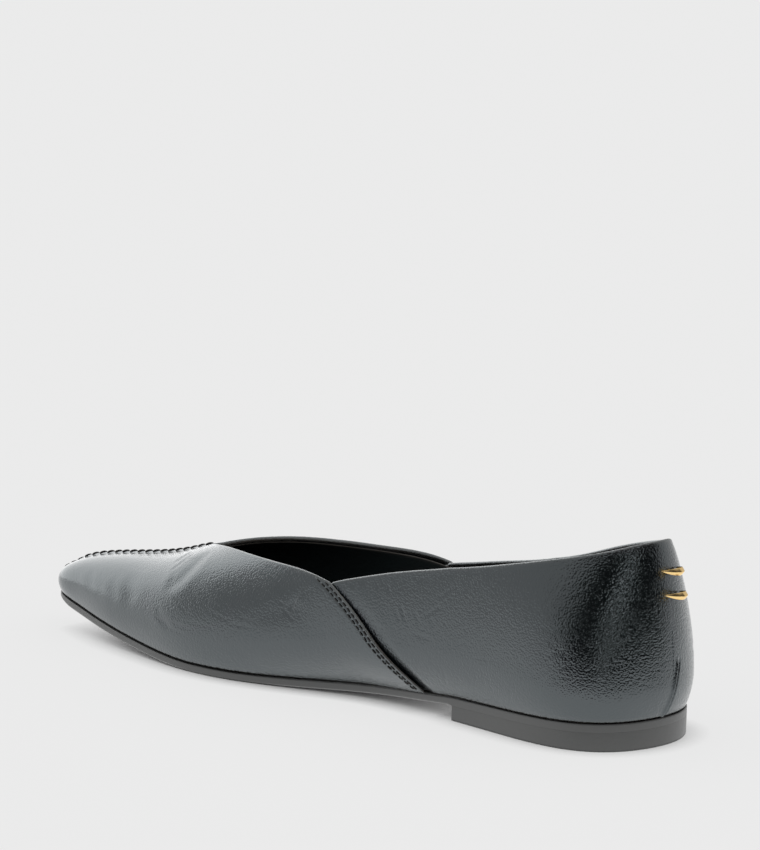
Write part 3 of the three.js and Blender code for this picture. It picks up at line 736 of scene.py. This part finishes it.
def slab(end, count, outs, level, across, crown=0.0):
    """Rings of a slab. outs: distances outside the outline, from the underside up; level: height at x for
    each of them; across: how many points cross the top and the underside; crown: rise of the top's middle."""
    u = end * np.linspace(0, 1, count + 1)[:, None]
    sides = []
    for sign in (1, -1):
        flat = edge_point(sign * u, np.broadcast_to(outs, (count + 1, np.shape(outs)[-1])))
        sides.append(np.concatenate([flat, level(flat[..., 0])[..., None]], -1))
    inner, outer = sides
    t = np.linspace(0, 1, across + 2)[1:-1, None]
    over = inner[:, -1:] * (1 - t) + outer[:, -1:] * t
    over[..., 2] += crown * 4 * (t * (1 - t))[:, 0]
    under = outer[:, :1] * (1 - t) + inner[:, :1] * t
    return np.concatenate([inner, over, outer[:, ::-1], under], 1)


def add_rings(name, rings):
    """A closed piece from rings of points: each is joined to the next one and round to itself."""
    numbers = np.arange(rings[..., 0].size).reshape(rings.shape[:2])
    return add_piece(name, rings, sheet_faces(numbers, True))


def quarter_round(count):
    """Sine and one minus cosine of even turns from flat to upright."""
    angle = np.linspace(0, np.pi / 2, count)
    return np.sin(angle), 1 - np.cos(angle)


TIP_TRIM, TIP_LENGTH = 1.1, 11
FOOTBED_INSET, FOOTBED_THICKNESS = 2.1, 2.0


def add_sole():
    """Bottom edge rounded over 1.4 mm, but square where the heel carries it on, and top edge rounded over
    0.35 mm. Under the toe tip the sole is trimmed thinner."""
    out, up = quarter_round(8)
    low = np.stack([-1.0 + 1.4 * out, 0.42 * up], 1)
    square = np.stack([0.38 + 0.02 * out, 0.005 * up], 1)
    top = np.stack([0.4 - 0.35 * up[1:], 0.84 + 0.16 * out[1:]], 1)
    profile = np.concatenate([low, [(0.4, 0.55), (0.4, 0.7), (0.4, 0.84)], top])
    flush = np.concatenate([square, profile[8:]])
    blend = lambda x: smooth((x - HEEL_LENGTH + 0.5) / 3)[..., None]
    u = np.linspace(0, 1, 421)
    share = blend(length_at(u))[:, 0]
    outs = flush[:, 0] * (1 - share[:, None]) + profile[:, 0] * share[:, None]
    levels = flush[:, 1] * (1 - share[:, None]) + profile[:, 1] * share[:, None]
    trim = lambda x: TIP_TRIM * smooth((x - SOLE_LENGTH + TIP_LENGTH) / TIP_LENGTH)
    level = lambda x: sole_bottom(x) + trim(x) + (SOLE_THICKNESS - trim(x)) * levels
    rings = slab(1.0, 420, outs, level, 14)
    return add_rings("sole", rings)


def add_heel():
    """Straight walls flush with the sole's edge, a bottom edge rounded by 0.5 mm and a flat, soft-edged
    breast at the front."""
    out, up = quarter_round(6)
    outs = np.concatenate([-0.1 + 0.5 * out, [0.4, 0.4], 0.4 - 0.02 * up[1:]])
    shares = np.concatenate([0.5 * up, [2.2, -0.02], -0.02 + 0.02 * out[1:]])

    def level(x):
        top = sole_bottom(x) - 0.02
        return np.where(np.arange(len(outs)) < 7, np.broadcast_to(shares, x.shape), top + shares)

    end = float(station_of(HEEL_LENGTH - 0.4))
    rings = slab(end, 170, outs, level, 14)
    last = rings[-1]
    middle = (last.max(0) + last.min(0)) / 2
    half = (last.max(0) - last.min(0)) / 2
    caps = []
    for forward, inset in ((0.15, 0.03), (0.28, 0.12), (0.37, 0.25), (0.4, 0.4)):
        cap = middle + (last - middle) * (1 - np.array([0, inset / half[1], inset / half[2]]))
        caps.append(cap + [forward, 0, 0])
    caps.append(middle + 0 * last + [0.4, 0, 0])
    rings = np.concatenate([rings, np.array(caps)])
    return add_rings("heel", rings)


def add_footbed():
    """A padded sock 2 mm thick with a soft edge and a slight crown."""
    out, up = quarter_round(6)
    outs = np.concatenate([[-FOOTBED_INSET], -FOOTBED_INSET - 0.7 * up])
    shares = np.concatenate([[0.0], 0.62 + 0.38 * out])
    rings = slab(1.0, 260, outs, lambda x: feather_level(x) + FOOTBED_THICKNESS * shares, 40, 0.25)
    return add_rings("footbed", rings)


sole, heel, footbed = add_sole(), add_heel(), add_footbed()

# %% [markdown]
# ## Threads
# A stitch is a short length of thread that comes up from one needle hole and goes down at the next. Each
# is a thin tube along its own small path, closed to a point at both ends and with few faces, because
# there are hundreds. The lapped edge has two rows of them, and the middle seam is whipped over.

# %% Stitches
LAP_STITCH, LAP_PITCH, LAP_THREAD = 2.05, 2.5, 0.24
WHIP_REACH, WHIP_SLANT, WHIP_THREAD, TOE_ROUND = 1.25, 0.8, 0.38, 5


def on_line(at, run, line):
    """Points of a line, or directions kept along it, at distances run along it."""
    return np.stack([np.interp(at, run, line[:, k]) for k in range(3)], -1)


def add_threads(name, paths, lifts, radius, sides=6):
    """Tubes along paths (stitch, point, xyz). lifts are directions away from the leather at each point. The
    radius is full along the middle and zero at both ends, as the root of one minus a sixth power."""
    along = unit(np.gradient(paths, axis=1))
    across = unit(np.cross(along, lifts))
    lift = np.cross(across, along)
    share = np.linspace(-1, 1, paths.shape[1])
    wide = radius * np.sqrt(1 - share**6)[None, :, None, None]
    turn = np.linspace(0, 2 * np.pi, sides, endpoint=False)[None, None, :, None]
    points = paths[:, :, None] + wide * (across[:, :, None] * np.cos(turn) + lift[:, :, None] * np.sin(turn))
    numbers = np.arange(points[..., 0].size).reshape(points.shape[:3])
    faces = np.concatenate([sheet_faces(stitch, True) for stitch in numbers])
    return add_piece(name, points, faces)


def lap_row(side, distance):
    """A line on the vamp a set distance from its lapped edge, from the foot up: points, normals, run."""
    level = np.linspace(0.02, 0.985, 300)[:, None]
    along = np.linspace(0, 0.07, 80)
    columns = vamp_columns(along, side)
    v, q = on_column(columns, side, level)
    base = skin(v, q)
    away = border_distance(base, 1)
    at = np.array([np.interp(distance, row, along) for row in away])
    v, q = (np.diagonal(a) for a in on_column(vamp_columns(at, side), side, level))
    top = vamp_columns(at, side)[1]
    normal = skin_normal(v, q)
    line = skin(v, q) + normal * lap_height(v, q, top)[0][:, None]
    return line, normal, run_along(line)


def add_seam_stitches():
    """Rows of stitches that bow a tenth of a millimetre out of the leather between their holes."""
    paths, lifts = [], []
    share = np.linspace(0, 1, 7)
    for side in (1, -1):
        for distance in STITCH_ROWS:
            line, normal, run = lap_row(side, distance)
            starts = np.arange(1.2, run[-1] - 3.4, LAP_PITCH)
            at = starts[:, None] + LAP_STITCH * share
            place, lift = on_line(at, run, line), unit(on_line(at, run, normal))
            paths.append(place + lift * (-0.16 + 0.26 * np.sin(np.pi * share) ** 0.7)[:, None])
            lifts.append(lift)
    return add_threads("seam_stitches", np.concatenate(paths), np.concatenate(lifts), LAP_THREAD)


def add_whip_stitches():
    """Threads over the middle seam, slanting along it from a hole on one side to a hole on the other. Down
    the front of the toe the skin falls away to both sides as a circle of 5 mm radius does."""
    share = np.linspace(-1, 1, 11)
    away = WHIP_REACH * np.abs(share)
    lift = 0.16 - 0.50 * np.abs(share) ** 4
    corner = np.interp(0.95, ridge_u, ridge_run)
    places = np.arange(2.5, seam_run[-1] - 1.2, WHIP_PITCH)
    run = places[places < corner][:, None] + WHIP_SLANT * share
    u = np.interp(run, ridge_run, ridge_u)
    slope = np.linalg.norm(skin(u, 1.0) - skin(u, 0.99), axis=-1) / 0.01
    q = 1 - away / slope
    v = np.where(share < 0, -u, u)
    base, normal = skin(v, q), skin_normal(v, q)
    paths, lifts = [base + normal * (bead(v, q, base) + lift)[..., None]], [normal]
    run = places[places >= corner][:, None] + WHIP_SLANT * share
    place = on_line(run, seam_run, seam_line)
    q = np.interp(run, front_run, front_q)
    normal = skin_normal(np.ones_like(q), np.minimum(q, 0.97))
    height = bead(np.ones_like(q), q, place) + lift - away**2 / (2 * TOE_ROUND)
    place[..., 1] += WHIP_REACH * share
    paths.append(place + normal * height[..., None])
    lifts.append(normal)
    return add_threads("whip_stitches", np.concatenate(paths), np.concatenate(lifts), WHIP_THREAD, 8)


seam_stitches, whip_stitches = add_seam_stitches(), add_whip_stitches()

# %% [markdown]
# ## The two metal bars
# Two small bars across the back, a little to the outer side of its middle. Each is drawn out to a point at both ends,
# where it goes into the leather, and has a soft ridge along its middle, so one facet catches the light.

# %% Metal bars
BAR_HALF, BAR_TALL, BAR_DEEP = 4.6, 1.3, 1.0
BAR_BOW, BAR_SUNK = 4.9, 0.3


def back_of_heel(y, height):
    """x of the upper's back at a distance to the side, at a height over the feather line."""
    v = np.linspace(0, 0.3, 600)
    line = skin(v, share_at(v, height))
    return np.interp(np.abs(y), line[:, 1], line[:, 0])


def add_bar(name, share):
    """Cross sections are soft diamonds, whose size falls off to the ends as one minus a power of the distance
    from the middle. The bar's line bows out from the leather, and both tips are sunk in it."""
    height = share * BACK_HEIGHT
    t = np.linspace(-1, 1, 61)[:, None]
    turn = np.linspace(0, 2 * np.pi, 32, endpoint=False)[None, :]
    tall = BAR_TALL * (1 - np.abs(t) ** 2.0) ** 0.62 + 0.02
    deep = BAR_DEEP * (1 - np.abs(t) ** 2.4) ** 0.7 + 0.02
    soft = lambda wave: np.sign(wave) * np.abs(wave) ** 1.85
    y = BAR_MIDDLE + BAR_HALF * t + 0 * turn
    line = back_of_heel(y[:, :1], height) - BAR_BOW * (1 - t**2) ** 0.6 + BAR_SUNK
    z = feather_level(0.0) + height + tall * soft(np.sin(turn))
    points = np.stack([line + deep * soft(np.cos(turn)), y, z], -1)
    middle = points.mean(1, keepdims=True)
    return add_rings(name, np.concatenate([middle[:1] + 0 * points[:1], points, middle[-1:] + 0 * points[:1]]))


bar_upper, bar_lower = add_bar("metal_bar_upper", 0.828), add_bar("metal_bar_lower", 0.695)

# %% [markdown]
# ## Materials
# Every finish is a small network of nodes on Object coordinates. Effects that several finishes share are
# node groups that give out a height or a mask; the shader itself stays in each material.

# %% Node helpers
def add_node(tree, kind, inputs=None, **settings):
    """A node with its settings, and its inputs linked from sockets or set to values."""
    made = tree.nodes.new(kind)
    for key, value in settings.items():
        setattr(made, key, value)
    for key, value in (inputs or {}).items():
        if isinstance(value, bpy.types.NodeSocket):
            tree.links.new(value, made.inputs[key])
        else:
            made.inputs[key].default_value = value
    return made


def maths(tree, kind, a, b=0.0, c=0.0):
    """One sum: ADD, MULTIPLY and so on."""
    return add_node(tree, "ShaderNodeMath", {0: a, 1: b, 2: c}, operation=kind).outputs[0]


def new_group(name, inputs, outputs):
    """A shader node group with named inputs (name, type, value) and outputs (name, type)."""
    group = bpy.data.node_groups.new(name, "ShaderNodeTree")
    for label, kind, value in inputs:
        socket = group.interface.new_socket(label, in_out="INPUT", socket_type=kind)
        if value is not None:
            socket.default_value = value
    for label, kind in outputs:
        group.interface.new_socket(label, in_out="OUTPUT", socket_type=kind)
    return group, group.nodes.new("NodeGroupInput"), group.nodes.new("NodeGroupOutput")


def grain_group():
    """Leather grain: small uneven pebbles, finer pores, and a net of hair-fine wrinkles. The wrinkles are the
    valleys of a noise drawn out along one way, and a broad noise lets them come and go."""
    group, given, made = new_group("leather_grain", [
        ("Place", "NodeSocketVector", None), ("Pebble size", "NodeSocketFloat", 0.8),
        ("Wrinkles", "NodeSocketFloat", 0.3)], [("Height", "NodeSocketFloat"), ("Unevenness", "NodeSocketFloat")])
    place = given.outputs["Place"]
    scale = maths(group, "DIVIDE", 1000.0, given.outputs["Pebble size"])
    bent = add_node(group, "ShaderNodeTexNoise", {"Vector": place, "Scale": 500.0, "Detail": 2.0})
    shift = add_node(group, "ShaderNodeVectorMath", {0: bent.outputs["Color"], 3: 0.0006}, operation="SCALE")
    shifted = add_node(group, "ShaderNodeVectorMath", {0: place, 1: shift.outputs[0]}, operation="ADD")
    pebbles = add_node(group, "ShaderNodeTexVoronoi", {"Vector": shifted.outputs[0], "Scale": scale,
                                                       "Smoothness": 0.6}, feature="SMOOTH_F1")
    pores = add_node(group, "ShaderNodeTexNoise", {"Vector": place, "Scale": 2600.0, "Detail": 2.0})
    drawn = add_node(group, "ShaderNodeMapping", {"Vector": place, "Scale": (1.0, 1.0, 0.7)})
    folds = add_node(group, "ShaderNodeTexNoise", {"Vector": drawn.outputs[0], "Scale": 640.0, "Detail": 3.0,
                                                   "Roughness": 0.55, "Distortion": 0.9})
    valley = maths(group, "ABSOLUTE", maths(group, "SUBTRACT", folds.outputs["Fac"], 0.5))
    lines = maths(group, "POWER", maths(group, "MINIMUM", maths(group, "MULTIPLY", valley, 8.0), 1.0), 0.5)
    cloud = add_node(group, "ShaderNodeTexNoise", {"Vector": place, "Scale": 55.0, "Detail": 4.0})
    where = maths(group, "MULTIPLY", maths(group, "POWER", cloud.outputs["Fac"], 2.0), 2.4)
    wrinkles = maths(group, "MULTIPLY", lines, maths(group, "MULTIPLY", where, given.outputs["Wrinkles"]))
    fine = maths(group, "MULTIPLY_ADD", pores.outputs["Fac"], 0.25, wrinkles)
    height = maths(group, "MULTIPLY_ADD", pebbles.outputs["Distance"], -1.45, fine)
    group.links.new(height, made.inputs["Height"])
    group.links.new(cloud.outputs["Fac"], made.inputs["Unevenness"])
    return group


GRAIN = grain_group()
print("groups:", [group.name for group in bpy.data.node_groups])

# %% [markdown]
# The leather is nearly black. What the eye sees on it is its polish: a clear reflection of the pale
# studio, broken up by a fine grain. So its colour stays dark, and its index of reflection is a little
# high, as that of waxed leather is.

# %% Finishes
def new_finish(name, colour, roughness, ior=1.5, metallic=0.0):
    """A material with the Principled shader and its plain values."""
    material = bpy.data.materials.new(name)
    material.use_nodes = True
    tree = material.node_tree
    shader = tree.nodes["Principled BSDF"]
    shader.inputs["Base Color"].default_value = (*colour, 1)
    shader.inputs["Roughness"].default_value = roughness
    shader.inputs["IOR"].default_value = ior
    shader.inputs["Metallic"].default_value = metallic
    place = add_node(tree, "ShaderNodeTexCoord").outputs["Object"]
    return material, tree, shader, place


WORN_EDGE = (0.070, 0.062, 0.054, 1)


def leather_finish(name, colour, gloss, pebble, wrinkles, depth, ior):
    """Leather: grain as bump, a roughness that wanders a little, and edges that are paler and duller. The
    grain is weaker towards the toe, where the leather is drawn tightest."""
    material, tree, shader, place = new_finish(name, colour, gloss, ior)
    grain = add_node(tree, "ShaderNodeGroup", node_tree=GRAIN)
    tree.links.new(place, grain.inputs["Place"])
    grain.inputs["Pebble size"].default_value = pebble
    grain.inputs["Wrinkles"].default_value = wrinkles
    along = add_node(tree, "ShaderNodeSeparateXYZ", {"Vector": place}).outputs["X"]
    drawn = add_node(tree, "ShaderNodeMapRange", {"Value": along, "From Min": 0.04, "From Max": 0.1, "To Min": 1.0,
                                                  "To Max": 0.4}).outputs["Result"]
    bump = add_node(tree, "ShaderNodeBump", {"Height": grain.outputs["Height"], "Distance": depth * MM,
                                             "Strength": drawn})
    tree.links.new(bump.outputs[0], shader.inputs["Normal"])
    edge = add_node(tree, "ShaderNodeAttribute", attribute_name="edge").outputs["Fac"]
    shade = add_node(tree, "ShaderNodeMix", {"Factor": edge, 6: (*colour, 1), 7: WORN_EDGE}, data_type="RGBA")
    tree.links.new(shade.outputs[2], shader.inputs["Base Color"])
    uneven = maths(tree, "MULTIPLY_ADD", grain.outputs["Unevenness"], 0.16, gloss - 0.08)
    tree.links.new(maths(tree, "MULTIPLY_ADD", edge, 0.12, uneven), shader.inputs["Roughness"])
    return material


def plain_finish(name, colour, gloss, scale, depth, ior=1.5, metallic=0.0):
    """A moulded, trimmed or drawn surface: a fine noise as bump and a wandering roughness."""
    material, tree, shader, place = new_finish(name, colour, gloss, ior, metallic)
    noise = add_node(tree, "ShaderNodeTexNoise", {"Vector": place, "Scale": scale, "Detail": 5.0, "Roughness": 0.6})
    bump = add_node(tree, "ShaderNodeBump", {"Height": noise.outputs["Fac"], "Distance": depth * MM, "Strength": 1.0})
    tree.links.new(bump.outputs[0], shader.inputs["Normal"])
    tree.links.new(maths(tree, "MULTIPLY_ADD", noise.outputs["Fac"], 0.2, gloss - 0.1), shader.inputs["Roughness"])
    return material


black_leather = leather_finish("black_leather", (0.0035, 0.0042, 0.0050), 0.13, 0.62, 0.30, 0.085, 2.0)
black_leather.node_tree.nodes["Principled BSDF"].inputs["Specular Tint"].default_value = (0.86, 0.96, 1.0, 1)
lining_leather = leather_finish("lining_leather", (0.012, 0.019, 0.020), 0.55, 0.5, 0.1, 0.03, 1.4)
sock_leather = leather_finish("sock_leather", (0.011, 0.011, 0.012), 0.5, 0.6, 0.15, 0.03, 1.45)
sole_edge = plain_finish("sole_edge", (0.066, 0.068, 0.067), 0.40, 900, 0.03, 1.6)
heel_edge = plain_finish("heel_edge", (0.066, 0.068, 0.067), 0.40, 900, 0.03, 1.6)
thread = plain_finish("black_thread", (0.012, 0.011, 0.010), 0.6, 2500, 0.08, 1.5)
gold = plain_finish("gold_metal", (0.93, 0.66, 0.30), 0.24, 1500, 0.01, 1.5, 1.0)

# %% [markdown]
# ## Every piece in its place
# Each piece gets its finish, rides on the one rigid body and stands for its CAD solid, which is hidden.

# %% Materials, bodies and replaced solids
DRESS = [
    (vamp, black_leather, "black_leather", "upper"), (quarter, black_leather, "black_leather", "upper"),
    (lining, lining_leather, "lining_black", "upper"), (seam_stitches, thread, "black_leather", "upper"),
    (whip_stitches, thread, "black_leather", "upper"), (sole, sole_edge, "outsole_black", "outsole"),
    (heel, heel_edge, "heel_black", "heel_lift"), (footbed, sock_leather, "lining_black", "insole"),
    (bar_upper, gold, "gold_metal", "staple_upper"), (bar_lower, gold, "gold_metal", "staple_lower")]
for piece, material, slot, node in DRESS:
    piece.data.materials.append(material)
    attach(piece, "root")
    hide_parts(node)
print("pieces:", [piece.name for piece, *_ in DRESS])

# %% [markdown]
# ## Floor and light
# A pale floor without an edge that glows evenly, with a painted contact shadow where the shoe comes close, and the even
# light of a white studio.

# %% Floor and light
floor_mesh = bpy.data.meshes.new("floor")
floor_mesh.from_pydata([(-12, -12, 0), (12, -12, 0), (12, 12, 0), (-12, 12, 0)], [], [(0, 1, 2, 3)])
floor = bpy.data.objects.new("floor", floor_mesh)
bpy.context.scene.collection.objects.link(floor)
FLOOR_GLOW, FLOOR_TONE, STUDIO_LIGHT = 0.735, 0.12, 0.78


def floor_finish():
    """A white sweep that glows well over the shoe's own light: most of its tone is glow. An ambient occlusion darkening
    of that glow close to the shoe is a painted contact shadow, which stays a thin soft line at the sole."""
    material, tree, shader, _ = new_finish("floor_glow_with_painted_shadow", (FLOOR_TONE,) * 3, 1.0)
    shader.inputs["Specular IOR Level"].default_value = 0.0
    shader.inputs["Emission Color"].default_value = (1.0, 1.0, 1.0, 1)
    # painted contact shadow: ambient occlusion within 9 mm of the shoe darkens the floor's glow
    near = add_node(tree, "ShaderNodeAmbientOcclusion", {"Distance": 0.009}, samples=2).outputs["AO"]
    glow = maths(tree, "MULTIPLY", maths(tree, "POWER", near, 0.5), FLOOR_GLOW)
    tree.links.new(glow, shader.inputs["Emission Strength"])
    return material


floor.data.materials.append(floor_finish())
floor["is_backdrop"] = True

world = bpy.data.worlds.new("studio")
world.use_nodes = True
bpy.context.scene.world = world
world.node_tree.nodes["Background"].inputs["Color"].default_value = (1.0, 1.0, 1.0, 1)
world.node_tree.nodes["Background"].inputs["Strength"].default_value = STUDIO_LIGHT
bpy.context.scene.view_settings.view_transform = "Standard"

# %% [markdown]
# The leather shows what stands round it. A ring of screens does this: bright beyond the toe, pale at both
# ends of the table, and dark on the camera's side, where the photographer's gear stands before a door
# with some light in it. A sheet of light just over the floor does the same for the lower parts. Only
# mirror-like rays see them, so they don't change the floor or the shadow.

# %% Ring of screens
RING_RADIUS, RING_TOP = 0.42, 0.55
FAN_CENTRE, FAN_HEIGHT = 0.09, 0.0006


def bell(angle, centre, half, soft):
    """One inside a sector of directions, zero outside, with soft ends; angles in degrees, round the circle."""
    off = np.abs((angle - centre + 180) % 360 - 180)
    return 1 - smooth((off - half) / soft + 0.5)


def ring_glow(azimuth, level):
    """Brightness of the screens at an azimuth and a height angle, both in degrees."""
    toe = bell(azimuth, -22, 40, 22)
    gear = bell(azimuth, 150 + 0.4 * level, 59 - 0.4 * level, 12) * (1 - smooth((level - 44) / 12))
    door = bell(azimuth, 160 + 1.1 * (level - 14), 3, 7) * bell(level, 17, 15, 12)
    return (0.615 + 1.31 * toe) * (1 - gear) + gear * (0.012 + 2.3 * door)


def screen_material():
    """Plain light whose strength is the value kept at the mesh's points."""
    material = bpy.data.materials.new("screen_light")
    material.use_nodes = True
    tree = material.node_tree
    tree.nodes.remove(tree.nodes["Principled BSDF"])
    glow = add_node(tree, "ShaderNodeAttribute", attribute_name="glow").outputs["Fac"]
    light = add_node(tree, "ShaderNodeEmission", {"Strength": glow})
    tree.links.new(light.outputs[0], tree.nodes["Material Output"].inputs["Surface"])
    return material


def add_screen(name, points, glow, material):
    """A stage mesh from a grid of points in metres, seen by mirror-like rays alone."""
    mesh = bpy.data.meshes.new(name)
    mesh.from_pydata(points.reshape(-1, 3), [], sheet_faces(np.arange(glow.size).reshape(glow.shape)))
    mesh.attributes.new("glow", "FLOAT", "POINT").data.foreach_set("value", glow.ravel().astype(np.float32))
    mesh.materials.append(material)
    screen = bpy.data.objects.new(name, mesh)
    bpy.context.scene.collection.objects.link(screen)
    screen.visible_camera = screen.visible_diffuse = screen.visible_shadow = screen.visible_transmission = False
    screen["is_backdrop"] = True


def add_ring(material):
    """A round wall of screens. Its height angles are those seen from the side of the shoe."""
    azimuth, height = np.meshgrid(np.linspace(-180, 180, 181), np.linspace(0.004, RING_TOP, 60), indexing="ij")
    turn = np.radians(azimuth)
    points = np.stack([RING_RADIUS * np.cos(turn), RING_RADIUS * np.sin(turn), height], -1)
    level = np.degrees(np.arctan2(height - 0.04, RING_RADIUS - 0.09))
    add_screen("ring_of_screens", points, ring_glow(azimuth, level), material)


def add_floor_light(material):
    """The lit floor: brightest in a fan beyond the toe, and dark where the table ends before the gear."""
    azimuth, reach = np.meshgrid(np.linspace(-180, 180, 181), np.linspace(0.02, 0.5, 40), indexing="ij")
    turn = np.radians(azimuth)
    points = np.stack([FAN_CENTRE + reach * np.cos(turn), reach * np.sin(turn), 0 * reach + FAN_HEIGHT], -1)
    glow = 1.0 + 0.17 * bell(azimuth, -20, 45, 45) * smooth((reach - 0.02) / 0.04)
    glow *= 1 - 0.9 * bell(azimuth, 143, 27, 25) * smooth((reach - 0.27) / 0.14)
    add_screen("floor_light", points, glow, material)


screen_light = screen_material()
add_ring(screen_light)
add_floor_light(screen_light)

# %% [markdown]
# ## Sizes and the end
# The dressed shoe must stay the size of the CAD model, so both boxes are written down.

# %% Write the sizes and finish
made_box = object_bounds()
{"cad": [list(corner) for corner in cad_box], "visual": [list(corner) for corner in made_box]}
print("CAD box", [[round(c, 4) for c in corner] for corner in cad_box])
print("visual box", [[round(c, 4) for c in corner] for corner in made_box])
